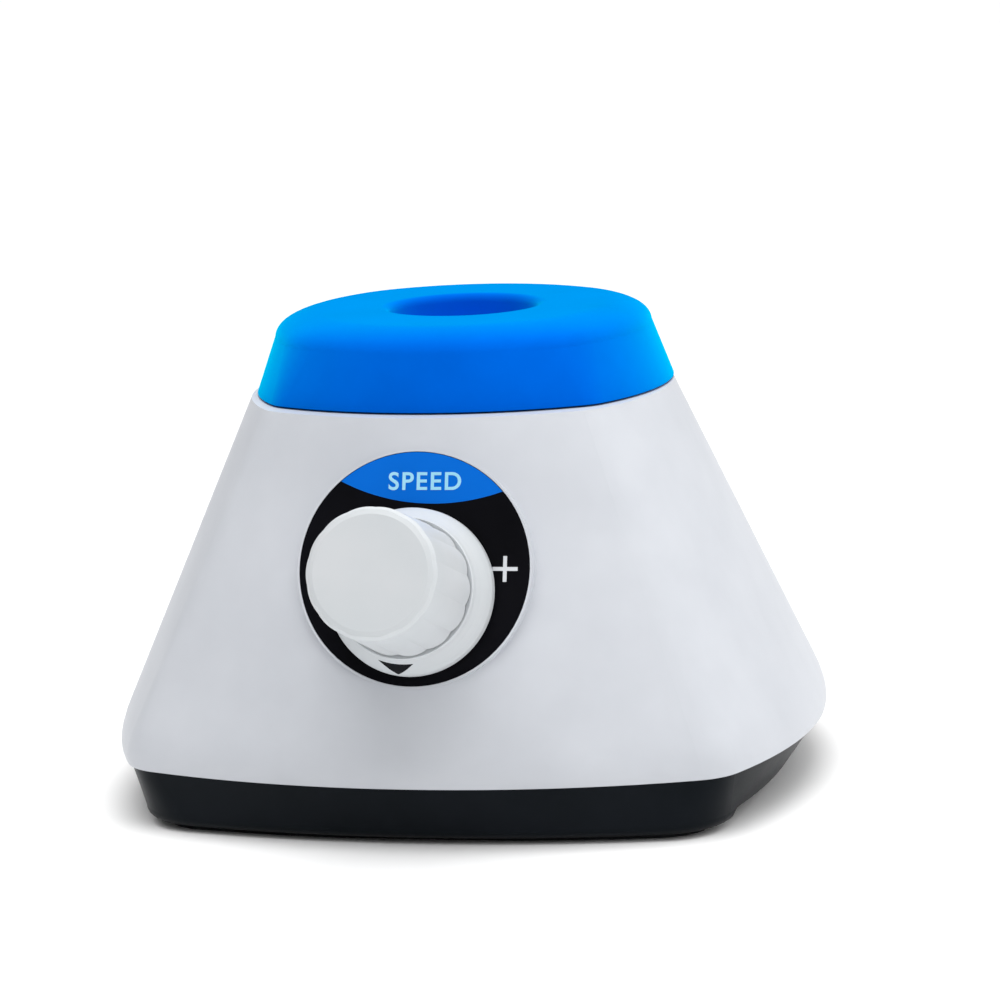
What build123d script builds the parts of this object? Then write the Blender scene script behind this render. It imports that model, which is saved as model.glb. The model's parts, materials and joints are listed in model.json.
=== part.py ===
from build123d import *
from collections import namedtuple
from math import atan2, cos, radians, sin, tan
import os

# Vortex mixer with a speed knob. Millimetres, +Z up, the front faces -Y.
# Everything is built around the motor axis and moved once, at the end, so
# that the origin is the centre of the bottom of the bounding box.

# ---- Driving sizes of the outside ----
WIDTH = 104.0
HOUSING_DEPTH = 89.4
HEIGHT = 70.0
WALL = 2.2
FOOT = 0.8
SEAM_Z = 8.8
CURVE_Z = 10.4
CURVE_TOP_Z = 14.2
DECK_Z = 58.3
CAP_GAP = 0.3
CAP_Z = DECK_Z + CAP_GAP
ORBIT = 2.0
GAP = 0.05
BASE_ROUND = 1.6
ARCH_Z = 2.6
ARCH_HALF = 29.5

# ---- Vertical stack inside ----
FLOOR_Z = 5.2
BALLAST_TOP = 7.7
MOTOR_Z = 9.4
MOTOR_TOP = 40.2
BRACKET_TOP = 41.7
HUB_Z = 43.3
HUB_TOP = 48.0
BEARING_Z = 50.3
BEARING_TOP = 55.3
PLATE_FLOOR_Z = 55.9
WELL_Z = 57.6
FLANGE_Z = 60.3
FLANGE_TOP = 62.1

# A rounded, slightly bowed rectangle at one height.
Level = namedtuple("Level", "z half_x half_y corner bow")
TUCK = 0.2
BULGE = 0.3
SHELL_FOOT = Level(SEAM_Z, WIDTH / 2 - TUCK, HOUSING_DEPTH / 2 - TUCK, 8.5, 6.7)
SHELL_CURVE = Level(CURVE_Z, WIDTH / 2 + BULGE, HOUSING_DEPTH / 2 + BULGE, 8.5, 6.7)
SHELL_TOP = Level(DECK_Z, 30.9, 28.9, 7.0, 5.0)
BASE_BOTTOM = Level(FOOT, 45.6, 41.6, 11.0, 3.0)
BASE_TOP = Level(SEAM_Z, WIDTH / 2 - 0.7, HOUSING_DEPTH / 2 - 0.7, 8.1, 6.7)
CAP_FOOT = Level(CAP_Z, 30.6, 28.3, 7.0, 5.0)
CAP_TOP = Level(HEIGHT, 26.4, 27.0, 18.0, 1.9)
CAP_SHOULDER_Z = 66.7
CAP_FLAT = Level(HEIGHT, 20.8, 20.8, 14.0, 1.9)


def between(low, high, z):
    """The level at height z on the straight line from low to high."""
    share = (z - low.z) / (high.z - low.z)
    return Level(*(a + (b - a) * share for a, b in zip(low, high)))


def grown(level, amount, z=None):
    """A level offset outwards by amount, at its own height or at z."""
    height = level.z if z is None else z
    return Level(height, level.half_x + amount, level.half_y + amount, level.corner + amount, level.bow)


def bowed_side(half, along, across, corner, bow):
    """Radius of a side's arc, and the angle where the corner's arc takes over."""
    inset = across - half
    radius = (inset**2 + along**2 - corner**2) / (2 * bow)
    return radius, atan2(along, inset + radius)


def outline(level):
    """Wire of four bowed sides and four corner arcs, tangent all round."""
    z, half_x, half_y, corner, bow = level
    cx = half_x - corner - bow
    cy = half_y - corner - bow
    radius_x, turn_x = bowed_side(half_x, cy, cx, corner, bow)
    radius_y, turn_y = bowed_side(half_y, cx, cy, corner, bow)
    side_end = (half_x - radius_x + radius_x * cos(turn_x), radius_x * sin(turn_x))
    front_end = (radius_y * sin(turn_y), half_y - radius_y + radius_y * cos(turn_y))
    diagonal = corner * cos(radians(45))
    corner_mid = (cx + diagonal, cy + diagonal)
    corners = []
    for sx, sy in ((1, 1), (-1, 1), (-1, -1), (1, -1)):
        points = [(x * sx, y * sy, z) for x, y in (side_end, corner_mid, front_end)]
        if sx * sy < 0:
            points.reverse()
        corners.append(ThreePointArc(*points))
    # The wire starts in the middle of its +X side, so lofted levels line up.
    quarter = turn_x / 2
    quarter_point = (half_x - radius_x + radius_x * cos(quarter), radius_x * sin(quarter))
    start = (half_x, 0, z)
    edges = [ThreePointArc(start, (*quarter_point, z), corners[0] @ 0), corners[0]]
    for index, middle in enumerate([(0, half_y, z), (-half_x, 0, z), (0, -half_y, z)]):
        edges.append(ThreePointArc(corners[index] @ 1, middle, corners[index + 1] @ 0))
        edges.append(corners[index + 1])
    edges.append(ThreePointArc(corners[3] @ 1, (quarter_point[0], -quarter_point[1], z), start))
    return Wire(edges)


def loft_levels(*levels, ruled=True):
    return Solid.make_loft([outline(level) for level in levels], ruled)


def rounded_foot(level, radius):
    """Levels that turn a side inwards through a quarter circle, downwards."""
    levels = []
    for turn in (0, 22.5, 45, 67.5, 90):
        inset = radius * (1 - cos(radians(turn)))
        levels.append(grown(level, -inset, level.z - radius * sin(radians(turn))))
    return levels


def shoulder(low, high):
    """Levels from low to high whose sides follow a quarter ellipse."""
    levels = []
    for turn in (0, 22.5, 45, 67.5, 90):
        share = 1 - cos(radians(turn))
        z = low.z + (high.z - low.z) * sin(radians(turn))
        mixed = [a + (b - a) * share for a, b in zip(low[1:], high[1:])]
        levels.append(Level(z, *mixed))
    return levels


def disc(radius, low, high, x=0.0, y=0.0):
    """Upright cylinder between two heights."""
    return Pos(x, y, low) * Cylinder(radius, high - low, align=(Align.CENTER, Align.CENTER, Align.MIN))


def tube(outer, inner, low, high, x=0.0, y=0.0):
    """Upright ring between two heights."""
    return disc(outer, low, high, x, y) - disc(inner, low, high, x, y)


def block(size_x, size_y, low, high, x=0.0, y=0.0):
    """Upright box between two heights."""
    return Pos(x, y, low) * Box(size_x, size_y, high - low, align=(Align.CENTER, Align.CENTER, Align.MIN))


def joined(shapes):
    """One shape out of several."""
    first, *rest = shapes
    return first.fuse(*rest) if rest else first


def group(shapes):
    """Separate solids kept side by side in one node."""
    return Compound([solid for shape in shapes for solid in shape.solids()])


def ring_of(count, radius, start=0.0):
    """Points evenly spaced on a circle."""
    turns = [radians(start + 360 * index / count) for index in range(count)]
    return [(radius * cos(turn), radius * sin(turn)) for turn in turns]


def turned(*profile):
    """Solid of revolution about Z from (radius, height) points."""
    face = make_face(Polyline(*[(radius, 0, z) for radius, z in profile], close=True))
    return revolve(face, Axis.Z)


# ---- Front and rear wall frames, with the wall's outward normal as their own Z ----
def wall_y(z):
    """Half depth of the straight part of the shell at height z."""
    return between(SHELL_CURVE, SHELL_TOP, z).half_y


LEAN = atan2(SHELL_CURVE.half_y - SHELL_TOP.half_y, DECK_Z - CURVE_Z)
LABEL_Z = 38.2
KNOB_DROP = 3.4
JACK_Z = 27.0
FRONT = Plane((0, -wall_y(LABEL_Z), LABEL_Z), x_dir=(1, 0, 0), z_dir=(0, -cos(LEAN), sin(LEAN))).location
DIAL = FRONT * Pos(0, -KNOB_DROP, 0)
REAR = Plane((0, wall_y(JACK_Z), JACK_Z), x_dir=(-1, 0, 0), z_dir=(0, cos(LEAN), sin(LEAN))).location

# ---- Dial, knob and potentiometer, along the dial's own Z ----
LABEL_R = 16.45
LABEL_THICK = 0.3
LABEL_RIM = 0.35
KNOB_FOOT = 0.8
KNOB_TOP = 25.41
SKIRT_R = 11.8
SKIRT_Z = 2.4
GRIP_R = 9.2
GRIP_Z = 6.6
GRIP_TAPER = 0.25
FACETS = 14
FIRST_CREASE = 10.9
FACET_BULGE = 0.32
FACE_BULGE = 0.1
POT_SHAFT_R = 3.0
POT_SHAFT_TOP = 20.0
POT_FLAT_Z = 12.0
POT_BUSH_R = 3.5
POT_BUSH_TOP = 5.0
POT_BODY_R = 8.5
POT_BODY_TOP = -2.9
POT_BODY_DEPTH = 7.0
POT_TAGS = (-5.0, 0.0, 5.0)
POT_TAG_Z = POT_BODY_TOP - 5.5
NUT_ACROSS = 10.0

# ---- Power inlet, along the rear wall's own Z ----
JACK_FLANGE_R = 5.6
JACK_BARREL_R = 4.0
JACK_SOCKET_R = 2.9
JACK_DEPTH = 13.0

# ---- Places of fixings ----
BOARD_Y = 29.75
SCREW_R = 1.25
SMALL_SCREW_R = 0.9
BASE_SCREW_Z = 6.6
BASE_SCREWS = [(x, y) for x in (-36, 36) for y in (-24, 24)]
BRACKET_POSTS = [(x, y) for x in (-23, 23) for y in (-18, 18)]
BOARD_POSTS = [(x, y) for x in (-23, 23) for y in (BOARD_Y - 4.6, BOARD_Y + 4.9)]
BALLAST_SCREWS = [(x, y) for x in (-38, 38) for y in (-13, 13)]
MOTOR_SCREWS = [(-8.5, 0), (8.5, 0)]
WEIGHT_SCREWS = [(-5.0, -8.0), (5.0, -8.0)]
RETAINER_SCREWS = ring_of(3, 9.9, 30)
ORBIT_POSTS = ring_of(4, 22.8, 45)
POST_R = 1.2
SLEEVE_R = 1.9
ORBIT_HOLE_R = SLEEVE_R + ORBIT + 0.2
DECK_OPENING = 19.6
BOARD_Z = 10.5
BOARD_TOP = 12.1
POST_TOP = 38.4


# ---- Housing ----
def shell_outside():
    """Outside of the shell: a rolled lower edge under four leaning sides."""
    curve_end = between(SHELL_CURVE, SHELL_TOP, CURVE_TOP_Z)
    levels = []
    for share in (0, 0.25, 0.5, 0.75):
        weights = ((1 - share) ** 2, 2 * share * (1 - share), share**2)
        mixed = zip(SHELL_FOOT, SHELL_CURVE, curve_end)
        levels.append(Level(*(sum(w * v for w, v in zip(weights, values)) for values in mixed)))
    return loft_levels(*levels, curve_end, ruled=False).fuse(loft_levels(curve_end, SHELL_TOP))


def shell_cavity():
    low = grown(SHELL_FOOT, -WALL)
    bend = grown(between(SHELL_CURVE, SHELL_TOP, CURVE_TOP_Z), -WALL - 0.2)
    high = grown(between(SHELL_CURVE, SHELL_TOP, DECK_Z - WALL), -WALL - 0.2)
    return loft_levels(low, bend).fuse(loft_levels(bend, high))


def housing_shell():
    outside = shell_outside()
    columns = joined([disc(3.6, SEAM_Z + 0.5, 46, x, y) for x, y in BASE_SCREWS]) & outside
    post_bosses = joined([disc(3.2, 53.5, DECK_Z, x, y) for x, y in ORBIT_POSTS])
    pad_depth = 3.2
    pad = FRONT * Pos(0, 0, LABEL_THICK - pad_depth / 2) * Cylinder(LABEL_R + LABEL_RIM, pad_depth)
    shell = outside - shell_cavity()
    shell = shell + columns + post_bosses + pad
    shell = shell - disc(DECK_OPENING, DECK_Z - WALL - 4, DECK_Z + 2)
    shell = shell + tube(DECK_OPENING + 0.8, DECK_OPENING, DECK_Z - WALL, DECK_Z + 0.7)
    for x, y in BASE_SCREWS:
        shell = shell - disc(SCREW_R, SEAM_Z, 24, x, y)
    for x, y in ORBIT_POSTS:
        shell = shell - disc(POST_R, 54, DECK_Z + 1, x, y)
    shell = shell - FRONT * Pos(0, 0, 2) * Cylinder(LABEL_R + GAP, 4)
    shell = shell - DIAL * Cylinder(POT_BUSH_R + 0.1, 20)
    shell = shell - REAR * Cylinder(JACK_BARREL_R + 0.1, 20)
    return shell - REAR * Pos(0, 0, 2 - 0.4) * Cylinder(JACK_FLANGE_R + 0.2, 4)


def base_tray():
    """Tray whose front and rear run lower than its middle, so its sides arch."""
    arch_round = 1.8
    inner_low = grown(between(BASE_BOTTOM, BASE_TOP, FOOT + WALL), -WALL)
    inner_top = grown(BASE_TOP, -WALL - 0.4, SEAM_Z + 3)
    hollow = loft_levels(inner_low, inner_top) - block(WIDTH, 2 * ARCH_HALF + 2 * WALL, 0, FLOOR_Z)
    rim_outer = grown(SHELL_FOOT, -WALL - 0.3)
    rim = loft_levels(rim_outer, grown(rim_outer, -0.4, SEAM_Z + 2))
    rim = rim - loft_levels(grown(rim_outer, -1.2), grown(rim_outer, -1.5, SEAM_Z + 2))
    rounding = rounded_foot(between(BASE_BOTTOM, BASE_TOP, FOOT + BASE_ROUND), BASE_ROUND)
    tray = loft_levels(rounding[0], BASE_TOP).fuse(loft_levels(*rounding, ruled=False))
    arch = block(WIDTH + 10, 2 * ARCH_HALF, 0, ARCH_Z)
    arch = fillet(arch.edges().filter_by(Axis.X).group_by(Axis.Z)[-1], arch_round)
    tray = tray - arch - hollow
    tray = tray + rim
    columns = [disc(3.4, FLOOR_Z - 1, POST_TOP, x, y) for x, y in BRACKET_POSTS]
    columns += [disc(2.5, ARCH_Z + 1 if y < ARCH_HALF else FOOT + 1, BOARD_Z, x, y) for x, y in BOARD_POSTS]
    columns += [disc(4.6, ARCH_Z + 1, SEAM_Z + 0.5, x, y) for x, y in BASE_SCREWS]
    for x, y in BRACKET_POSTS:
        columns.append(block(1.4, 12, FLOOR_Z - 1, 22, x, y) & block(WIDTH, 28, 0, 30))
    tray = tray.fuse(*columns)
    for x, y in BRACKET_POSTS:
        tray = tray - disc(SCREW_R, 30, POST_TOP + 1, x, y)
    for x, y in BOARD_POSTS:
        tray = tray - disc(SMALL_SCREW_R, FLOOR_Z, BOARD_Z + 1, x, y)
    for x, y in BALLAST_SCREWS:
        tray = tray - disc(SMALL_SCREW_R, FLOOR_Z - 1.6, FLOOR_Z + 1, x, y)
    for x, y in BASE_SCREWS:
        tray = tray - disc(3.0, 0, BASE_SCREW_Z, x, y) - disc(1.7, 0, SEAM_Z + 3, x, y)
    for side in (-1, 1):
        tray = tray - foot_strip(side, GAP)
    return tray


STRIP_WIDTH = 7.0
STRIP_Y = 35.0


def foot_strip(side, extra=0.0):
    """Rubber strip let into the underside, following the tray's rounded corners."""
    inset = 2.6 - extra
    strip = loft_levels(grown(BASE_BOTTOM, -inset, 0), grown(BASE_BOTTOM, -inset, FOOT + 0.5))
    return strip & block(WIDTH, STRIP_WIDTH + 2 * extra, 0, FOOT + 0.5, 0, side * STRIP_Y)


def pan_screw(x, y, head_z, tip_z, shank, head, head_height):
    """Screw standing along Z, its head at head_z and its point at tip_z."""
    up = 1 if tip_z > head_z else -1
    shaft = disc(shank, min(head_z, tip_z), max(head_z, tip_z), x, y)
    low = min(head_z, head_z - up * head_height)
    cap = disc(head, low, low + head_height, x, y)
    outer = cap.faces().sort_by(Axis.Z)[0 if up > 0 else -1]
    cap = fillet(outer.edges(), head_height * 0.4)
    depth = head_height * 0.5
    recess_z = head_z - up * head_height
    recess = block(head * 1.1, head * 0.28, recess_z - depth, recess_z + depth, x, y)
    cross = block(head * 0.28, head * 1.1, recess_z - depth, recess_z + depth, x, y)
    return shaft + cap - recess - cross


def base_screws():
    return group(pan_screw(x, y, BASE_SCREW_Z, 20.0, SCREW_R, 2.7, 1.9) for x, y in BASE_SCREWS)


def ballast_plate():
    plate = extrude(Pos(0, 0, FLOOR_Z) * RectangleRounded(86, 37, 4), BALLAST_TOP - FLOOR_Z)
    for x, y in BRACKET_POSTS:
        plate = plate - disc(3.7, 0, 20, x, y) - block(1.8, 12.4, 0, 20, x, y)
    for x, y in BALLAST_SCREWS:
        plate = plate - disc(1.1, 0, 20, x, y)
    return plate - disc(5.0, 0, 20)


def ballast_screws():
    tip_z = FLOOR_Z - 1.4
    return group(pan_screw(x, y, BALLAST_TOP, tip_z, SMALL_SCREW_R, 1.9, 1.3) for x, y in BALLAST_SCREWS)


# ---- Dial and speed control ----
def dial_label():
    label = Pos(0, 0, LABEL_THICK / 2) * Cylinder(LABEL_R, LABEL_THICK)
    opening = Pos(0, -KNOB_DROP, 0) * Cylinder(POT_BUSH_R + 0.3, 4)
    return FRONT * (label - opening)


def grip_outline(radius, bulge, z):
    """Closed wire of arcs that bulge outwards between sharp creases."""
    creases = [(x, y, z) for x, y in ring_of(FACETS, radius, FIRST_CREASE)]
    crests = [(x, y, z) for x, y in ring_of(FACETS, radius + bulge, FIRST_CREASE + 180 / FACETS)]
    following = creases[1:] + creases[:1]
    return Wire([ThreePointArc(start, crest, end) for start, crest, end in zip(creases, crests, following)])


def speed_knob():
    """Knob turned about its shaft: a flared skirt, a groove and a tapered grip with facets."""
    edge = 0.9
    groove = 0.35
    core = GRIP_R - 0.15
    profile = [
        (0, KNOB_FOOT + 1.4),
        (SKIRT_R - 1.6, KNOB_FOOT + 1.4),
        (SKIRT_R - 1.6, KNOB_FOOT),
        (SKIRT_R - 0.3, KNOB_FOOT),
        (SKIRT_R, KNOB_FOOT + 0.4),
        (SKIRT_R - 0.1, SKIRT_Z),
        (SKIRT_R - 0.55, SKIRT_Z + 1.0),
        (SKIRT_R - 1.2, SKIRT_Z + 2.2),
        (SKIRT_R - 1.7, SKIRT_Z + 3.3),
        (GRIP_R + 0.75, GRIP_Z - 0.2),
        (GRIP_R + 0.6, GRIP_Z),
        (core, GRIP_Z - groove),
        (core, GRIP_Z + groove),
        (core - GRIP_TAPER, KNOB_TOP - edge),
        (core - GRIP_TAPER - edge * 0.3, KNOB_TOP - edge * 0.3),
        (core - GRIP_TAPER - edge, KNOB_TOP),
        (0, KNOB_TOP),
    ]
    knob = turned(*profile)
    low = grip_outline(GRIP_R, FACET_BULGE, GRIP_Z + 0.05)
    high = grip_outline(GRIP_R - GRIP_TAPER, FACE_BULGE, KNOB_TOP - edge - 0.1)
    top = grip_outline(GRIP_R - GRIP_TAPER - 0.45, FACE_BULGE, KNOB_TOP - edge * 0.35)
    knob = knob + Solid.make_loft([low, high], True) + Solid.make_loft([high, top], True)
    hollow_top = POT_SHAFT_TOP + 0.5
    under = disc(7.4, 0, hollow_top) - disc(4.8, 6.4, hollow_top)
    knob = knob - under - turned((0, 0), (SKIRT_R - 1.8, 0), (SKIRT_R - 1.8, 2.0), (7.6, 4.0), (0, 4.0))
    bore = disc(POT_SHAFT_R + 0.02, 0, POT_SHAFT_TOP + 0.2)
    return DIAL * (knob - (bore - shaft_flat()))


def shaft_flat():
    """What the flat takes off the shaft, and leaves in the knob's bore."""
    depth = 1.5
    side = 10.0
    return block(side, side, POT_FLAT_Z, KNOB_TOP, 0, depth - POT_SHAFT_R - side / 2)


def pot_shaft():
    shaft = disc(POT_SHAFT_R, POT_BODY_TOP + 0.2, POT_SHAFT_TOP)
    wiper = disc(6.0, POT_BODY_TOP - 2.2, POT_BODY_TOP - 1.4)
    wiper = wiper + disc(2.0, POT_BODY_TOP - 3, POT_BODY_TOP + 0.3)
    return DIAL * (shaft - shaft_flat() + wiper)


def pot_bushing():
    barrel = tube(POT_BUSH_R, POT_SHAFT_R + 0.04, POT_BODY_TOP, POT_BUSH_TOP)
    return DIAL * (barrel + tube(7.6, POT_SHAFT_R + 0.04, POT_BODY_TOP - 0.8, POT_BODY_TOP))


def pot_body():
    top = POT_BODY_TOP - 0.8
    can = disc(POT_BODY_R, top - POT_BODY_DEPTH, top) - disc(POT_BODY_R - 1.2, top - 4.0, top)
    return DIAL * can


def pot_terminals():
    """Three tags on a strip below the body, each with a hole for its wire."""
    strip = Pos(0, -10.4, POT_TAG_Z) * Box(12.5, 3.8, 1.4)
    tags = []
    for x in POT_TAGS:
        tag = Pos(x, -14.5, POT_TAG_Z) * Box(1.6, 4.4, 0.6)
        tags.append(tag - Pos(x, -15.6, POT_TAG_Z) * Cylinder(0.5, 2))
    strip = strip - Cylinder(POT_BODY_R + 0.01, 60)
    return DIAL * joined([strip, *tags])


def pot_washer():
    return DIAL * tube(5.9, POT_BUSH_R + GAP, LABEL_THICK, LABEL_THICK + 0.5)


def pot_nut():
    """Thin hexagon nut on the bushing, hidden inside the knob."""
    low = LABEL_THICK + 0.5
    nut = extrude(Pos(0, 0, low) * RegularPolygon(NUT_ACROSS / 2, 6, major_radius=False), 2.0)
    return DIAL * (nut - disc(POT_BUSH_R, low, low + 2.0))


# ---- Motor ----
CAN_R = 12.2
CAN_WALL = 1.0
END_CAP_TOP = 12.4
SHAFT_R = 1.0
BUSH_R = 2.2
TERMINALS_X = (-4, 4)


def motor_can():
    can = disc(CAN_R, END_CAP_TOP, MOTOR_TOP) - disc(CAN_R - CAN_WALL, END_CAP_TOP, MOTOR_TOP - 1.2)
    can = can + disc(3.5, MOTOR_TOP - 1.2, BRACKET_TOP)
    for x, y in MOTOR_SCREWS:
        can = can - disc(1.15, MOTOR_TOP - 2, MOTOR_TOP + 1, x, y)
    rims = can.edges().filter_by(GeomType.CIRCLE).filter_by(lambda edge: abs(edge.radius - CAN_R) < 0.01)
    can = fillet(rims.group_by(Axis.Z)[-1], 0.8)
    return can - disc(BUSH_R, MOTOR_TOP - 3, BRACKET_TOP + 1)


def motor_bushes():
    front = tube(BUSH_R, SHAFT_R + 0.03, MOTOR_TOP - 1.2, BRACKET_TOP)
    rear = tube(BUSH_R, SHAFT_R + 0.03, MOTOR_Z, MOTOR_Z + 2.2)
    return group([front, rear])


def motor_end_cap():
    cap = disc(CAN_R, MOTOR_Z, END_CAP_TOP) - disc(BUSH_R, MOTOR_Z - 1, END_CAP_TOP + 1)
    for x in TERMINALS_X:
        cap = cap - block(2.2, 6.5, 10.6, 11.1, x, 12.75)
    return cap - tube(CAN_R + 1, CAN_R - CAN_WALL, END_CAP_TOP - 0.8, END_CAP_TOP + 1)


def motor_magnets():
    ring = tube(CAN_R - CAN_WALL - 0.02, 9.9, 16, 37)
    gap = block(2 * CAN_R + 2, 9, 10, 40)
    return group([ring - gap])


def core_slots():
    return [Rot(0, 0, 60 + 120 * index) * block(12, 3.0, 16, 36, 9.0, 0) for index in range(3)]


def motor_armature():
    core = disc(9.4, 19, 34) - disc(SHAFT_R, 10, 40)
    for slot in core_slots():
        core = core - slot
    for index in range(3):
        window = tube(8.2, 4.2, 18, 36) & Rot(0, 0, 60 + 120 * index) * block(14, 7.0, 18, 36, 7.0, 0)
        core = core - window
    return core


def motor_windings():
    copper = tube(8.0, 3.2, 17.4, 35.6)
    core = tube(8.01, 3.2, 19, 34) & motor_armature()
    copper = copper - core
    for slot in core_slots():
        copper = copper - slot
    return copper


def commutator():
    ring = tube(2.6, SHAFT_R, 12.8, 16.4)
    for index in range(3):
        ring = ring - Rot(0, 0, 120 * index) * block(2, 0.25, 12.8, 16.4, 3.0, 0)
    return ring


def motor_brushes():
    """Carbon blocks on spring arms that stand on the end cap."""
    brushes = []
    for side in (-1, 1):
        carbon = block(1.8, 2.0, 13.4, 15.4, side * 3.6, 0)
        arm = block(0.3, 1.6, END_CAP_TOP, 16.0, side * 4.65, 0)
        brushes.append(carbon + arm)
    return group(brushes)


def motor_terminals():
    return group(block(2.2, 6.5, 10.6, 11.1, x, 12.75) - disc(0.6, 10, 12, x, 14.8) for x in TERMINALS_X)


def motor_shaft():
    return disc(SHAFT_R, MOTOR_Z - 0.3, HUB_TOP - 0.8)


# ---- Motor mounting ----
GROMMET_TOP = BRACKET_TOP + 1.6


def motor_bracket():
    plate = extrude(Pos(0, 0, MOTOR_TOP) * RectangleRounded(56, 46, 5), BRACKET_TOP - MOTOR_TOP)
    plate = plate - disc(3.55, 30, 50)
    for x, y in BRACKET_POSTS:
        plate = plate - disc(3.0, 30, 50, x, y)
    for x, y in MOTOR_SCREWS:
        plate = plate - disc(1.3, 30, 50, x, y)
    for side in (-1, 1):
        plate = plate - extrude(Pos(0, side * 17.5, 30) * SlotOverall(26, 5), 20)
        plate = plate - extrude(Pos(side * 21.5, 0, 30) * SlotOverall(20, 6, rotation=90), 20)
    return plate


def motor_screws():
    return group(pan_screw(x, y, BRACKET_TOP, MOTOR_TOP - 1.9, 1.1, 2.1, 1.2) for x, y in MOTOR_SCREWS)


def bracket_grommets():
    grommets = []
    for x, y in BRACKET_POSTS:
        body = disc(4.4, POST_TOP, MOTOR_TOP, x, y) + disc(3.0 - 0.02, MOTOR_TOP, BRACKET_TOP, x, y)
        body = body + disc(4.4, BRACKET_TOP, GROMMET_TOP, x, y)
        grommets.append(body - disc(1.3, 30, 50, x, y))
    return group(grommets)


def bracket_screws():
    return group(pan_screw(x, y, GROMMET_TOP, 30.5, SCREW_R, 2.9, 1.7) for x, y in BRACKET_POSTS)


# ---- Orbit drive: hub, pin, weight and bearing ----
PIN = Pos(0, ORBIT, 0)
PIN_R = 2.5
BALLS = 7
BALL_R = 1.6
BALL_RING_R = 5.2
RACE_GAP = 0.03
SET_SCREW_Z = 44.9
INNER_RACE_R = 3.9
OUTER_RACE_R = 6.5
BEARING_R = 8.0
BEARING_MID = (BEARING_Z + BEARING_TOP) / 2


def eccentric_hub():
    hub = disc(6.5, HUB_Z, HUB_TOP) + disc(10.6, HUB_TOP - 1.5, HUB_TOP)
    hub = hub + PIN * disc(3.4, HUB_TOP, BEARING_Z) + PIN * disc(PIN_R, BEARING_Z, BEARING_TOP)
    hub = hub - disc(SHAFT_R, HUB_Z - 1, HUB_TOP - 0.8)
    for x, y in WEIGHT_SCREWS:
        hub = hub - disc(1.9, HUB_TOP - 1.0, HUB_TOP + 1, x, y) - disc(1.0, HUB_Z, HUB_TOP, x, y)
    return hub - set_screw_hole()


def set_screw_hole():
    return Pos(0, 3.8, SET_SCREW_Z) * Rot(90, 0, 0) * Cylinder(1.5, 5.6)


def hub_set_screw():
    screw = Pos(0, 3.3, SET_SCREW_Z) * Rot(90, 0, 0) * Cylinder(1.5, 4.6)
    socket = Pos(0, 5.2, SET_SCREW_Z) * Rot(90, 0, 0) * extrude(RegularPolygon(0.75, 6), 1.5, both=True)
    return screw - socket


def counterweight():
    weight = tube(19.0, 6.6, HUB_Z + 0.3, HUB_TOP - 1.5) & block(60, 30, 40, 50, 0, -15.5)
    for x, y in WEIGHT_SCREWS:
        weight = weight - disc(1.0, 44.5, 50, x, y)
    return weight


def weight_screws():
    screws = []
    for x, y in WEIGHT_SCREWS:
        screw = disc(1.9, HUB_TOP - 1.0, HUB_TOP, x, y) + disc(1.0, 44.5, HUB_TOP - 1.0, x, y)
        screws.append(screw - block(2.4, 0.5, HUB_TOP - 0.5, HUB_TOP + 1, x, y))
    return group(screws)


def ball_groove():
    return PIN * Pos(0, 0, BEARING_MID) * Torus(BALL_RING_R, BALL_R + RACE_GAP)


def bearing_inner_ring():
    return PIN * tube(INNER_RACE_R, PIN_R, BEARING_Z, BEARING_TOP) - ball_groove()


def bearing_outer_ring():
    return PIN * tube(BEARING_R, OUTER_RACE_R, BEARING_Z, BEARING_TOP) - ball_groove()


def ball_places():
    return ring_of(BALLS, BALL_RING_R)


def bearing_balls():
    return group(PIN * Pos(x, y, BEARING_MID) * Sphere(BALL_R) for x, y in ball_places())


def bearing_cage():
    cage = tube(BALL_RING_R + 0.5, BALL_RING_R - 0.5, BEARING_MID - 1.9, BEARING_MID + 1.9)
    pocket = Pos(BALL_RING_R, 0, BEARING_MID) * Rot(0, 90, 0) * Cylinder(BALL_R + GAP, 3)
    for index in range(BALLS):
        cage = cage - Rot(0, 0, 360 * index / BALLS) * pocket
    return PIN * cage


# ---- Orbiting head, built around the pin ----
CUP_R = 11.0
CUP_FLOOR_Z = 59.4
CUP_WALL_Z = 62.2
CUP_LIP = 1.2
CUP_BOSS_R = 15.0
CAP_SKIN = 2.4
WELL_R = CUP_BOSS_R + GAP


def cap_level(z, inset):
    return grown(between(CAP_FOOT, CAP_TOP, z), -inset, z)


def head_plate():
    """Flange inside the cap, a well for the cup and a boss for the bearing."""
    flange = loft_levels(cap_level(FLANGE_Z, CAP_SKIN + GAP), cap_level(FLANGE_TOP, CAP_SKIN + GAP))
    plate = flange + disc(WELL_R + 1.6, PLATE_FLOOR_Z, FLANGE_TOP) + disc(12.0, BEARING_Z - 0.1, WELL_Z)
    plate = plate - disc(WELL_R, WELL_Z, FLANGE_TOP + 1)
    plate = plate - disc(BEARING_R, BEARING_Z - 1, BEARING_TOP) - disc(6.9, BEARING_TOP - 1, PLATE_FLOOR_Z)
    for x, y in ORBIT_POSTS:
        plate = plate - disc(ORBIT_HOLE_R, FLANGE_Z - 1, FLANGE_TOP + 1, x, y)
    for x, y in RETAINER_SCREWS:
        plate = plate - disc(SMALL_SCREW_R, BEARING_Z - 1, 55.0, x, y)
    return PIN * plate


def bearing_retainer():
    ring = tube(11.8, 6.9, BEARING_Z - 1.1, BEARING_Z - 0.1)
    for x, y in RETAINER_SCREWS:
        ring = ring - disc(1.1, BEARING_Z - 2, BEARING_Z, x, y)
    return PIN * ring


def retainer_screws():
    head_z = BEARING_Z - 1.1
    return group(PIN * pan_screw(x, y, head_z, 54.5, SMALL_SCREW_R, 1.7, 0.7) for x, y in RETAINER_SCREWS)


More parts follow.
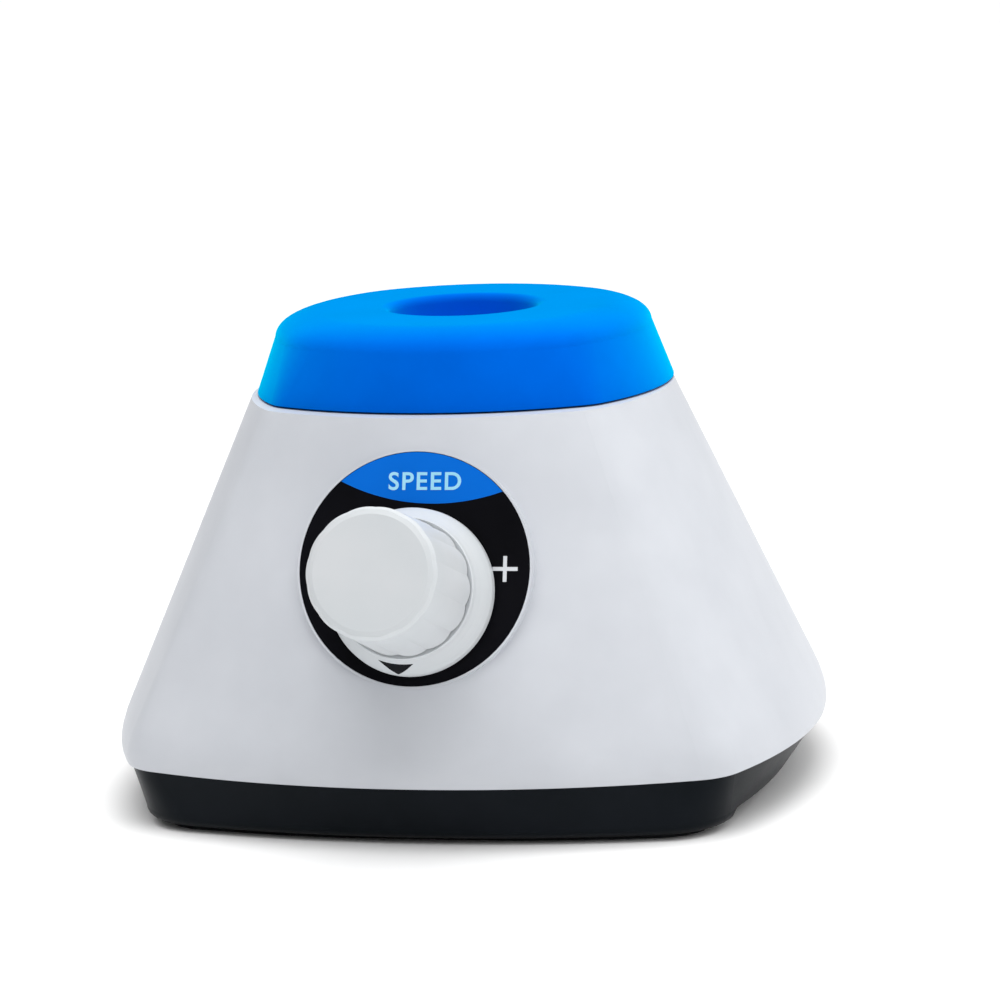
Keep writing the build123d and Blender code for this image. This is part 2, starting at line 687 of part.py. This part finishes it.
def cup_space():
    """The tube cup: a dished floor, a straight wall and a rounded mouth."""
    rise = CUP_WALL_Z - CUP_FLOOR_Z
    dish_r = (CUP_R**2 + rise**2) / (2 * rise)
    middle_z = CUP_FLOOR_Z + dish_r - (dish_r**2 - (CUP_R / 2) ** 2) ** 0.5
    floor = ThreePointArc((0, 0, CUP_FLOOR_Z), (CUP_R / 2, 0, middle_z), (CUP_R, 0, CUP_WALL_Z))
    wall = Line((CUP_R, 0, CUP_WALL_Z), (CUP_R, 0, HEIGHT - CUP_LIP))
    side = CUP_LIP * (1 - cos(radians(45)))
    mouth = ThreePointArc(wall @ 1, (CUP_R + side, 0, HEIGHT - side), (CUP_R + CUP_LIP, 0, HEIGHT))
    top = Polyline(mouth @ 1, (CUP_R + CUP_LIP, 0, HEIGHT + 1), (0, 0, HEIGHT + 1), floor @ 0)
    return revolve(make_face([floor, wall, mouth, top]), Axis.Z)


def rubber_cap():
    rounding = shoulder(between(CAP_FOOT, CAP_TOP, CAP_SHOULDER_Z), CAP_FLAT)
    cap = loft_levels(CAP_FOOT, rounding[0]).fuse(loft_levels(*rounding, ruled=False))
    ceiling_z = 65.4
    inside = loft_levels(cap_level(FLANGE_Z, CAP_SKIN), cap_level(ceiling_z, CAP_SKIN))
    lip = loft_levels(cap_level(CAP_Z, CAP_SKIN + 0.9), cap_level(FLANGE_Z, CAP_SKIN + 0.9))
    cap = cap - inside - lip
    cap = cap + disc(CUP_BOSS_R, WELL_Z + GAP, ceiling_z + 0.5)
    return PIN * (cap - cup_space())


def orbit_posts():
    posts = []
    for x, y in ORBIT_POSTS:
        posts.append(disc(POST_R, 54, 63.0, x, y) + disc(SLEEVE_R, 62.9, 63.6, x, y))
    return group(posts)


def post_sleeves():
    return group(tube(SLEEVE_R, POST_R, DECK_Z + GAP, 62.9, x, y) for x, y in ORBIT_POSTS)


# ---- Electronics ----
def circuit_board():
    board = extrude(Pos(0, BOARD_Y, BOARD_Z) * RectangleRounded(52, 14.5, 1.5), BOARD_TOP - BOARD_Z)
    for x, y in BOARD_POSTS:
        board = board - disc(1.1, 0, 20, x, y)
    return board


def board_screws():
    return group(pan_screw(x, y, BOARD_TOP, 6.8, SMALL_SCREW_R, 1.8, 1.2) for x, y in BOARD_POSTS)


def board_capacitor():
    x, y = -16.5, BOARD_Y - 2
    can = disc(3.15, BOARD_TOP + 0.3, 19.5, x, y)
    can = fillet(can.edges().filter_by(GeomType.CIRCLE), 0.5)
    return can + disc(2.4, BOARD_TOP, BOARD_TOP + 0.6, x, y)


def board_chips():
    x, y = -7.5, BOARD_Y + 1.6
    regulator = block(6.6, 6.2, BOARD_TOP, BOARD_TOP + 2.3, x, y)
    regulator = regulator + block(5.4, 9.6, BOARD_TOP, BOARD_TOP + 0.5, x, y)
    x, y = 13, BOARD_Y + 2.8
    timer = block(4.9, 3.9, BOARD_TOP + 0.2, BOARD_TOP + 1.7, x, y)
    leg_places = [x + step * 1.27 for step in (-1.5, -0.5, 0.5, 1.5)]
    legs = [block(0.4, 6.0, BOARD_TOP, BOARD_TOP + 0.5, leg_x, y) for leg_x in leg_places]
    return group([regulator, timer.fuse(*legs)])


CONNECTORS = {"motor": (6.5, 2), "power": (-1.5, 2), "control": (17.0, 3)}
CONNECTOR_Y = BOARD_Y - 5.1
CONNECTOR_FRONT = CONNECTOR_Y - 1.8
WIRE_Z = BOARD_TOP + 2.0
WIRE_R = 0.55
PITCH = 2.0


def pin_places(name):
    """Where a connector's wires go in, along X."""
    x, count = CONNECTORS[name]
    return [x + (index - (count - 1) / 2) * PITCH for index in range(count)]


def board_connectors():
    headers = []
    for name, (x, count) in CONNECTORS.items():
        body = block(count * PITCH + 1.6, 3.6, BOARD_TOP, BOARD_TOP + 4.2, x, CONNECTOR_Y)
        for pin_x in pin_places(name):
            body = body - Pos(pin_x, CONNECTOR_FRONT, WIRE_Z) * Rot(90, 0, 0) * Cylinder(WIRE_R + GAP, 5)
        headers.append(body)
    return group(headers)


def dc_jack():
    """Panel socket: a flange outside the rear wall, a barrel through it."""
    low = -JACK_DEPTH
    jack = disc(JACK_FLANGE_R, -0.4, 1.0) + disc(JACK_BARREL_R, low, 1.0)
    jack = fillet(jack.edges().group_by(Axis.Z)[-1], 0.4)
    return REAR * (jack - disc(JACK_SOCKET_R, low + 3.5, 2))


def jack_pin():
    low = -JACK_DEPTH + 3.5
    pin = disc(1.05, low, -0.6)
    return REAR * fillet(pin.edges().group_by(Axis.Z)[-1], 0.5)


def jack_nut():
    high = -WALL - 0.6
    nut = extrude(Pos(0, 0, high - 2.0) * RegularPolygon(5.5, 6, major_radius=False), 2.0)
    return REAR * (nut - disc(JACK_BARREL_R, high - 2.0, high))


def jack_terminals():
    tags = []
    for x in (-1.8, 1.8):
        tags.append(REAR * block(1.6, 0.5, -JACK_DEPTH - 3.4, -JACK_DEPTH, x, 0))
    return group(tags)


# ---- Wires between the jack, board, motor and control ----
def wire(points):
    """Round wire along straight runs, each bend as wide as its two runs allow."""
    nodes = [Vector(*point) for point in points]
    radii = []
    for before, here, after in zip(nodes, nodes[1:], nodes[2:]):
        run_in, run_out = here - before, after - here
        turn = radians(run_in.get_angle(run_out))
        radii.append(0.45 * min(run_in.length, run_out.length) / tan(turn / 2))
    path = FilletPolyline(*nodes, radius=radii)
    return sweep(Plane(path @ 0, z_dir=path % 0) * Circle(WIRE_R), path)


def plug_in(pin_x):
    """The last two points of a wire, straight into its connector."""
    return [(pin_x, CONNECTOR_FRONT - 2.5, WIRE_Z), (pin_x, CONNECTOR_FRONT + 1.5, WIRE_Z)]


def motor_wires():
    wires = []
    for x, pin_x in zip(TERMINALS_X, pin_places("motor")):
        wires.append(wire([(x, 16.1, 10.85), (x, 18.2, 10.85), *plug_in(pin_x)]))
    return group(wires)


def power_wires():
    wires = []
    for x, pin_x in zip((-1.8, 1.8), pin_places("power")):
        start = (REAR * Pos(-x, 0, -JACK_DEPTH - 3.5)).position
        run = (REAR * Pos(-x, 0, -JACK_DEPTH - 7.0)).position
        wires.append(wire([tuple(start), tuple(run), (pin_x, 17.2, 17.4), *plug_in(pin_x)]))
    return group(wires)


def control_wires():
    wires = []
    lane_step = 1.5
    for index, (tag_x, pin_x) in enumerate(zip(POT_TAGS, pin_places("control"))):
        tag = (DIAL * Pos(tag_x, -17.4, POT_TAG_Z)).position
        bend = (tag.X, tag.Y + 1.2, tag.Z - 3.6)
        lane = 14.6 + lane_step * index
        low = 14.0 + lane_step * index
        corner = (lane, -17 - 0.5 * index, low)
        wires.append(wire([tuple(tag), bend, corner, (lane + 0.2, 8, low), *plug_in(pin_x)]))
    return group(wires)


PIECES = [
    housing_shell,
    base_tray,
    base_screws,
    ballast_plate,
    ballast_screws,
    dial_label,
    speed_knob,
    pot_shaft,
    pot_bushing,
    pot_body,
    pot_terminals,
    pot_washer,
    pot_nut,
    motor_can,
    motor_bushes,
    motor_end_cap,
    motor_magnets,
    motor_armature,
    motor_windings,
    commutator,
    motor_brushes,
    motor_terminals,
    motor_shaft,
    motor_bracket,
    motor_screws,
    bracket_grommets,
    bracket_screws,
    eccentric_hub,
    hub_set_screw,
    counterweight,
    weight_screws,
    bearing_inner_ring,
    bearing_outer_ring,
    bearing_balls,
    bearing_cage,
    head_plate,
    bearing_retainer,
    retainer_screws,
    rubber_cap,
    orbit_posts,
    post_sleeves,
    circuit_board,
    board_screws,
    board_capacitor,
    board_chips,
    board_connectors,
    dc_jack,
    jack_pin,
    jack_nut,
    jack_terminals,
    motor_wires,
    power_wires,
    control_wires,
]

os.makedirs("parts", exist_ok=True)
solids = {piece.__name__: piece() for piece in PIECES}
solids["foot_strip_front"] = foot_strip(-1)
solids["foot_strip_rear"] = foot_strip(1)

front_y = solids["speed_knob"].bounding_box().min.Y
rear_y = solids["housing_shell"].bounding_box().max.Y
to_box_centre = Pos(0, -(front_y + rear_y) / 2, 0)
print("moved by", -(front_y + rear_y) / 2, "depth", rear_y - front_y)
for name, solid in solids.items():
    export_step(to_box_centre * solid, f"parts/{name}.step")
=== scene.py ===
import bmesh
import bpy
import json
import math
from mathutils import Matrix, Vector


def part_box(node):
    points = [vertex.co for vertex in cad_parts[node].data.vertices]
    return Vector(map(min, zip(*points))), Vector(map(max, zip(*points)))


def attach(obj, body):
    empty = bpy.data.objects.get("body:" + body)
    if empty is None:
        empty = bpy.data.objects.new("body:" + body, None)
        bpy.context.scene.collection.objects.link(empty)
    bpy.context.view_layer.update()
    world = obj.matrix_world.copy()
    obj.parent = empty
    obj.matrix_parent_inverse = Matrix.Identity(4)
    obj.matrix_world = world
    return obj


# Looks of the vortex mixer: a finish for every part, printed marks, floor, light and camera.
# All lengths are in metres and all angles in degrees, unless a line says otherwise.
MM = 0.001

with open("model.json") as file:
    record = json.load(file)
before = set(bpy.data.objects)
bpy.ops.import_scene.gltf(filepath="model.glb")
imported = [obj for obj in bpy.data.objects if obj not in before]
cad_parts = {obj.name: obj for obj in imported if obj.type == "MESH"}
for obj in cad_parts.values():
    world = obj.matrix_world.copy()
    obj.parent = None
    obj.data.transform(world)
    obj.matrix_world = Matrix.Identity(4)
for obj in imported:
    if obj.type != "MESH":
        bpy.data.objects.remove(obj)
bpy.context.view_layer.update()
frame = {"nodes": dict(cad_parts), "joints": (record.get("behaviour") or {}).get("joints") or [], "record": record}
joints = {joint["name"]: joint for joint in frame["joints"]}


# ---- Materials ----
def new_material(name, **uniform):
    """Principled material; keyword names are socket names with _ for a space."""
    material = bpy.data.materials.new(name)
    material.use_nodes = True
    shader = material.node_tree.nodes["Principled BSDF"]
    for socket, value in uniform.items():
        shader.inputs[socket.replace("_", " ")].default_value = value
    return material


def add_node(material, kind, **inputs):
    """A new node, each input linked to a socket or set to a value."""
    node = material.node_tree.nodes.new(kind)
    for name, value in inputs.items():
        socket = node.inputs[name.replace("_", " ")]
        if isinstance(value, bpy.types.NodeSocket):
            material.node_tree.links.new(value, socket)
        else:
            socket.default_value = value
    return node


def drive(material, socket, value):
    """Links a varying value to a socket of the material's shader."""
    shader = material.node_tree.nodes["Principled BSDF"]
    material.node_tree.links.new(value, shader.inputs[socket])


def noise(material, grain, detail=2.0, stretch=(1, 1, 1)):
    """Noise whose features are about one grain wide, drawn out along an axis by stretch."""
    place = add_node(material, "ShaderNodeTexCoord").outputs["Object"]
    scaled = add_node(material, "ShaderNodeMapping", Vector=place, Scale=[1 / s for s in stretch])
    vector = scaled.outputs["Vector"]
    texture = add_node(material, "ShaderNodeTexNoise", Vector=vector, Scale=1 / grain, Detail=detail)
    return texture.outputs["Fac"]


def tint(material, factor, dark, light, low=0.3, high=0.7):
    """Base colour that runs from dark to light as the factor runs from low to high."""
    ramp = add_node(material, "ShaderNodeValToRGB", Fac=factor)
    first, last = ramp.color_ramp.elements
    first.position, first.color = low, (*dark, 1)
    last.position, last.color = high, (*light, 1)
    drive(material, "Base Color", ramp.outputs["Color"])


def roughen(material, factor, smooth, rough):
    """Roughness that runs from smooth to rough with the factor."""
    scaled = add_node(material, "ShaderNodeMapRange", Value=factor, To_Min=smooth, To_Max=rough)
    drive(material, "Roughness", scaled.outputs[0])


def emboss(material, height, depth, strength=0.5):
    """Bumps as deep as depth, without moving the surface."""
    bump = add_node(material, "ShaderNodeBump", Height=height, Distance=depth, Strength=strength)
    drive(material, "Normal", bump.outputs[0])


def moulded(name, dark, light, roughness, grain=0.3 * MM, depth=0.01 * MM, **uniform):
    """Moulded plastic, rubber or film: cloudy colour under a fine spark-eroded grain."""
    cloud = 12 * MM
    uneven = 0.05
    material = new_material(name, **uniform)
    fine = noise(material, grain)
    tint(material, noise(material, cloud, detail=3), dark, light)
    roughen(material, fine, roughness - uneven, roughness + uneven)
    emboss(material, fine, depth)
    return material


def metal(name, dark, light, roughness, grain=0.12 * MM, stretch=(1, 1, 1), depth=0.004 * MM, **uniform):
    """Metal with a fine tool pattern and blotches where it is darker."""
    blotch = 4 * MM
    uneven = 0.08
    material = new_material(name, Metallic=1.0, **uniform)
    lines = noise(material, grain, stretch=stretch)
    tint(material, noise(material, blotch, detail=4), dark, light)
    roughen(material, lines, roughness - uneven, roughness + uneven)
    emboss(material, lines, depth)
    return material


def wound_copper(name):
    """Enamelled wire in rows, with painted shade darkening the gaps between them."""
    row = 0.4 * MM
    # A wave texture at scale 1 has its bands 0.314 apart.
    wave_scale = 0.314 / row
    material = new_material(name, Metallic=1.0, Roughness=0.3, Coat_Weight=0.5)
    place = add_node(material, "ShaderNodeTexCoord").outputs["Object"]
    wave = add_node(material, "ShaderNodeTexWave", Vector=place, Scale=wave_scale, Distortion=1.5)
    wave.bands_direction = "Z"
    # Painted shade: the colour runs from dark in the gaps between rows to light on each row's crest.
    tint(material, wave.outputs["Fac"], (0.30, 0.10, 0.04), (0.80, 0.36, 0.18))
    emboss(material, wave.outputs["Fac"], 0.1 * MM)
    return material


def solder_mask(name):
    """Green board: lighter copper runs show through the lacquer."""
    run_width = 2.2 * MM
    lacquer_grain = 0.2 * MM
    material = new_material(name, Coat_Weight=0.6, Coat_Roughness=0.15)
    runs = noise(material, run_width, detail=0, stretch=(3, 1, 1))
    tint(material, runs, (0.01, 0.10, 0.04), (0.03, 0.22, 0.08), low=0.49, high=0.52)
    roughen(material, noise(material, lacquer_grain), 0.3, 0.42)
    emboss(material, runs, 0.03 * MM)
    return material


# Base colours, as linear red, green and blue
STEEL_DARK = (0.42, 0.43, 0.45)
STEEL_LIGHT = (0.62, 0.63, 0.65)
BRASS_DARK = (0.55, 0.36, 0.12)
BRASS_LIGHT = (0.80, 0.58, 0.26)

finishes = {
    "white_shell": moulded("white_shell", (0.55, 0.57, 0.61), (0.59, 0.61, 0.65), 0.42, depth=0.006 * MM,
                           Specular_IOR_Level=0.3),
    "white_knob": moulded("white_knob", (0.56, 0.59, 0.61), (0.60, 0.62, 0.64), 0.40, depth=0.005 * MM,
                          Specular_IOR_Level=0.3),
    "black_tray": moulded("black_tray", (0.002, 0.003, 0.004), (0.004, 0.005, 0.007), 0.36, depth=0.008 * MM,
                          Specular_IOR_Level=0.09, Specular_Tint=(0.75, 0.87, 1.0, 1.0)),
    "blue_rubber": moulded("blue_rubber", (0.0, 0.098, 0.62), (0.0, 0.112, 0.68), 0.46, grain=0.2 * MM,
                           depth=0.004 * MM, Specular_IOR_Level=0.0, Sheen_Weight=0.8, Sheen_Roughness=0.5,
                           Sheen_Tint=(0.0, 0.75, 0.8, 1.0)),
    "foot_rubber": moulded("foot_rubber", (0.010, 0.011, 0.013), (0.020, 0.022, 0.025), 0.75, depth=0.02 * MM,
                           Specular_IOR_Level=0.2),
    "label_film": moulded("label_film", (0.002, 0.002, 0.003), (0.004, 0.004, 0.006), 0.34, depth=0.002 * MM,
                          Specular_IOR_Level=0.06),
    "grommet_rubber": moulded("grommet_rubber", (0.012, 0.012, 0.012), (0.03, 0.03, 0.03), 0.7,
                              depth=0.02 * MM),
    "head_aluminium": metal("head_aluminium", (0.60, 0.61, 0.63), (0.80, 0.81, 0.83), 0.38,
                            stretch=(30, 1, 1)),
    "zinc_steel": metal("zinc_steel", STEEL_DARK, (0.66, 0.67, 0.70), 0.34),
    "black_steel": metal("black_steel", (0.02, 0.02, 0.02), (0.05, 0.05, 0.05), 0.40),
    "turned_steel": metal("turned_steel", STEEL_DARK, STEEL_LIGHT, 0.28, stretch=(40, 40, 1)),
    "bearing_steel": metal("bearing_steel", (0.60, 0.61, 0.63), (0.78, 0.79, 0.82), 0.14,
                           depth=0.001 * MM),
    "motor_steel": metal("motor_steel", STEEL_DARK, STEEL_LIGHT, 0.36, stretch=(1, 1, 30)),
    "copper": wound_copper("copper"),
    "brass": metal("brass", BRASS_DARK, BRASS_LIGHT, 0.30, stretch=(20, 20, 1)),
    "carbon": moulded("carbon", (0.008, 0.008, 0.009), (0.03, 0.03, 0.032), 0.55, depth=0.03 * MM),
    "ferrite": moulded("ferrite", (0.03, 0.03, 0.033), (0.07, 0.07, 0.075), 0.60, depth=0.03 * MM),
    "natural_nylon": moulded("natural_nylon", (0.66, 0.63, 0.54), (0.76, 0.73, 0.65), 0.45,
                             Subsurface_Weight=0.1, Subsurface_Scale=MM),
    "black_plastic": moulded("black_plastic", (0.010, 0.010, 0.011), (0.025, 0.025, 0.027), 0.42),
    "green_board": solder_mask("green_board"),
    "red_wire": moulded("red_wire", (0.40, 0.01, 0.01), (0.55, 0.02, 0.02), 0.35),
    "black_wire": moulded("black_wire", (0.010, 0.010, 0.010), (0.022, 0.022, 0.022), 0.35),
    "grey_wire": moulded("grey_wire", (0.22, 0.23, 0.24), (0.32, 0.33, 0.34), 0.35),
}
for subpart in frame["record"]["subparts"]:
    for material_slot in frame["nodes"][subpart["node"]].material_slots:
        material_slot.material = finishes[subpart["material_slot"]]

band_ink = moulded("band_ink", (0.001, 0.130, 0.60), (0.002, 0.145, 0.65), 0.36, depth=0.002 * MM,
                   Specular_IOR_Level=0.06)
text_ink = moulded("text_ink", (0.30, 0.66, 0.86), (0.38, 0.72, 0.90), 0.36, depth=0.002 * MM)
mark_ink = moulded("mark_ink", (0.60, 0.62, 0.65), (0.68, 0.70, 0.72), 0.36, depth=0.002 * MM)
knob_ink = moulded("knob_ink", (0.002, 0.002, 0.003), (0.005, 0.005, 0.007), 0.36, depth=0.002 * MM,
                   Specular_IOR_Level=0.06)

# ---- Where the dial is: its axis leaves the leaning front wall at a right angle ----
axis_y = joints["motor_spin"]["pos_m"][1]
outward = -Vector(joints["knob_turn"]["axis"]).normalized()
across = Vector((1, 0, 0))
up_face = outward.cross(across)


def face_frame(origin):
    """Matrix whose X runs right, Y up along the wall and Z out of it."""
    turn = Matrix((across, up_face, outward)).transposed()
    return Matrix.Translation(origin) @ turn.to_4x4()


def farthest_out(node, origin):
    """How far a part stands out from origin along the dial's axis."""
    return max((vertex.co - origin).dot(outward) for vertex in frame["nodes"][node].data.vertices)


dial_origin = Vector(joints["knob_turn"]["pos_m"])
label_low, label_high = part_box("dial_label")
label_centre = (label_low + label_high) / 2
LABEL = face_frame(label_centre)
DIAL = face_frame(dial_origin)
LABEL_TOP = farthest_out("dial_label", label_centre)
LABEL_R = (label_high.x - label_low.x) / 2

# ---- Printed marks: thin closed plates, half let into the surface below them ----
INK = 0.03 * MM


def polar(radius, degrees):
    turn = math.radians(degrees)
    return radius * math.cos(turn), radius * math.sin(turn)


def arc(radius, start, end, steps, centre=(0.0, 0.0)):
    """Points along a circle's arc, both ends included."""
    points = []
    for index in range(steps + 1):
        x, y = polar(radius, start + (end - start) * index / steps)
        points.append((centre[0] + x, centre[1] + y))
    return points


def new_piece(name, mesh, material, body, place):
    """A printed piece, put in place and set to ride on a CAD body."""
    mesh.materials.clear()
    mesh.materials.append(material)
    piece = bpy.data.objects.new(name, mesh)
    bpy.context.scene.collection.objects.link(piece)
    piece.matrix_world = place
    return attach(piece, body)


def mesh_of(name, points, faces):
    mesh = bpy.data.meshes.new(name)
    mesh.from_pydata(points, [], faces)
    mesh.validate()
    return mesh


def plate(name, outline, height):
    """Closed plate over an outline, as high as the ink on a surface at that height."""
    count = len(outline)
    low = [(x, y, height - INK) for x, y in outline]
    high = [(x, y, height + INK) for x, y in outline]
    faces = [list(reversed(range(count))), list(range(count, 2 * count))]
    for index in range(count):
        after = (index + 1) % count
        faces.append([index, after, count + after, count + index])
    return mesh_of(name, low + high, faces)


def label_band():
    """Blue segment at the label's top, cut off below by a wide arc."""
    band_r = 29.6 * MM
    band_centre = 38.8 * MM
    margin = 0.06 * MM
    band_turn = -3.6
    edge_r = LABEL_R - margin
    cross_y = (edge_r**2 - band_r**2 + band_centre**2) / (2 * band_centre)
    rim_turn = math.degrees(math.asin(cross_y / edge_r))
    arc_turn = math.degrees(math.asin((band_centre - cross_y) / band_r))
    upper = arc(edge_r, rim_turn, 180 - rim_turn, 40)
    lower = arc(band_r, 180 + arc_turn, 360 - arc_turn, 32, (0.0, band_centre))
    band = plate("label_band", upper + lower[1:-1], LABEL_TOP)
    tipped = LABEL @ Matrix.Rotation(math.radians(band_turn), 4, "Z")
    new_piece("label_band", band, band_ink, "housing", tipped)


def speed_text():
    """The word on the label's blue band, as one welded mesh."""
    weld = 0.001 * MM
    letters = bpy.data.curves.new("speed_text", "FONT")
    letters.body = "SPEED"
    letters.size = 3.5 * MM
    letters.space_character = 1.15
    letters.align_x = "CENTER"
    letters.offset = 0.06 * MM
    letters.extrude = 1.5 * INK
    mesh = bpy.data.meshes.new_from_object(bpy.data.objects.new("letters", letters))
    welded = bmesh.new()
    welded.from_mesh(mesh)
    bmesh.ops.remove_doubles(welded, verts=welded.verts, dist=weld)
    welded.to_mesh(mesh)
    welded.free()
    middle = 1.2 * MM
    baseline = 11.1 * MM
    place = LABEL @ Matrix.Translation((middle, baseline, LABEL_TOP + INK))
    new_piece("speed_text", mesh, text_ink, "housing", place)


def dial_marks():
    """A plus on the right of the knob for faster and a minus on the left for slower."""
    mark_x = 12.95 * MM
    reach = 1.8 * MM
    stroke = 0.27 * MM
    minus = [(-reach, -stroke), (reach, -stroke), (reach, stroke), (-reach, stroke)]
    arm = [(stroke, -stroke), (reach, -stroke), (reach, stroke)]
    plus = []
    for _ in range(4):
        plus += arm
        arm = [(-y, x) for x, y in arm]
    for name, x, outline in (("minus_mark", -mark_x, minus), ("plus_mark", mark_x, plus)):
        place = LABEL @ Matrix.Translation((x, 0, 0))
        new_piece(name, plate(name, outline, LABEL_TOP), mark_ink, "housing", place)


def skirt_radius(degrees, z):
    """Radius of the knob's outside at an angle and a height along its axis."""
    far = 30 * MM
    direction = DIAL.to_3x3() @ Vector((*polar(1, degrees), 0))
    start = DIAL @ Vector((0, 0, z)) + direction * far
    found, place, _, _ = frame["nodes"]["speed_knob"].ray_cast(start, -direction)
    assert found, "the pointer has no knob below it"
    return far - (start - place).dot(direction)


def slab_faces(rows, columns):
    """Faces of a closed slab between two grids of points, the lower grid first."""
    width = columns + 1
    layer = width * (rows + 1)
    faces = []
    for row in range(rows):
        for column in range(columns):
            corner = row * width + column
            quad = [corner, corner + 1, corner + width + 1, corner + width]
            faces.append(list(reversed(quad)))
            faces.append([layer + point for point in quad])
    rim = list(range(columns)) + [columns + row * width for row in range(rows)]
    rim += [layer - 1 - column for column in range(columns)]
    rim += [(rows - row) * width for row in range(rows)]
    for here, after in zip(rim, rim[1:] + rim[:1]):
        faces.append([here, after, layer + after, layer + here])
    return faces


def knob_pointer():
    """Black triangle on the skirt's slope, pointing out at the label."""
    rows = 8
    columns = 8
    tip_z = 2.6 * MM
    top_z = 5.0 * MM
    middle = -96
    widest = 13.5
    narrowest = 0.3
    points = []
    for lift in (-INK, INK):
        for row in range(rows + 1):
            share = row / rows
            z = tip_z + (top_z - tip_z) * share
            half = widest * share + narrowest
            for column in range(columns + 1):
                angle = middle + half * (2 * column / columns - 1)
                x, y = polar(skirt_radius(angle, z) + lift, angle)
                points.append((x, y, z + lift))
    slab = mesh_of("knob_pointer", points, slab_faces(rows, columns))
    new_piece("knob_pointer", slab, knob_ink, "knob", DIAL)


label_band()
speed_text()
dial_marks()
knob_pointer()


# ---- Floor, light and camera ----
def floor():
    """Plain white floor, a hair below the feet."""
    half = 8.0
    drop = 0.01 * MM
    corners = [(-half, -half), (half, -half), (half, half), (-half, half)]
    mesh = mesh_of("floor", [(x, y, -drop) for x, y in corners], [[0, 1, 2, 3]])
    white = (1.0, 1.0, 1.0, 1.0)
    mesh.materials.append(new_material("floor", Base_Color=white, Roughness=0.9, Specular_IOR_Level=0.1))
    plane = bpy.data.objects.new("floor", mesh)
    bpy.context.scene.collection.objects.link(plane)


def sky():
    """White tent that is brightest overhead and a little brighter behind and to the right."""
    base = 0.10
    towards = (0.28, 0.30, 1.40)
    world = bpy.data.worlds.new("tent")
    bpy.context.scene.world = world
    world.use_nodes = True
    nodes = world.node_tree.nodes
    links = world.node_tree.links
    place = nodes.new("ShaderNodeTexCoord")
    lean = nodes.new("ShaderNodeVectorMath")
    lean.operation = "DOT_PRODUCT"
    lean.inputs[1].default_value = towards
    links.new(place.outputs["Generated"], lean.inputs[0])
    level = nodes.new("ShaderNodeMath")
    level.operation = "ADD"
    level.inputs[1].default_value = base
    above_zero = nodes.new("ShaderNodeMath")
    above_zero.operation = "MAXIMUM"
    above_zero.inputs[1].default_value = 0.0
    links.new(lean.outputs["Value"], level.inputs[0])
    links.new(level.outputs[0], above_zero.inputs[0])
    links.new(above_zero.outputs[0], nodes["Background"].inputs["Strength"])
    nodes["Background"].inputs["Color"].default_value = (1, 1, 1, 1)


def softbox(name, place, size, power):
    """Square area light that faces the mixer's middle."""
    target = Vector((0, axis_y, 35 * MM))
    light = bpy.data.lights.new(name, "AREA")
    light.energy = power
    light.size = size
    lamp = bpy.data.objects.new(name, light)
    bpy.context.scene.collection.objects.link(lamp)
    lamp.location = place
    lamp.rotation_mode = "QUATERNION"
    lamp.rotation_quaternion = (target - Vector(place)).to_track_quat("-Z", "Y")


def camera():
    """Long lens a little above the mixer and to its right, tipped by a small roll."""
    azimuth = math.radians(12.36)
    elevation = math.radians(10.86)
    roll = math.radians(2.37)
    distance = 0.5653
    target = Vector((4.78 * MM, axis_y, 40.97 * MM))
    flat = math.cos(elevation)
    back = Vector((math.sin(azimuth) * flat, -math.cos(azimuth) * flat, math.sin(elevation)))
    right = Vector((math.cos(azimuth), math.sin(azimuth), 0))
    upward = back.cross(right)
    rolled_right = right * math.cos(roll) - upward * math.sin(roll)
    rolled_up = right * math.sin(roll) + upward * math.cos(roll)
    data = bpy.data.cameras.new("camera")
    data.lens = 137.63
    data.sensor_width = 36.0
    data.clip_start = 0.05
    view = bpy.data.objects.new("camera", data)
    turn = Matrix((rolled_right, rolled_up, back)).transposed().to_4x4()
    view.matrix_world = Matrix.Translation(target + back * distance) @ turn
    bpy.context.scene.collection.objects.link(view)
    bpy.context.scene.camera = view


floor()
sky()
softbox("overhead", (0.02, -0.10, 0.48), 0.4, 1.2)
softbox("right_fill", (0.95, -0.35, 0.45), 0.6, 0.7)
camera()
bpy.context.scene.view_settings.view_transform = "Standard"
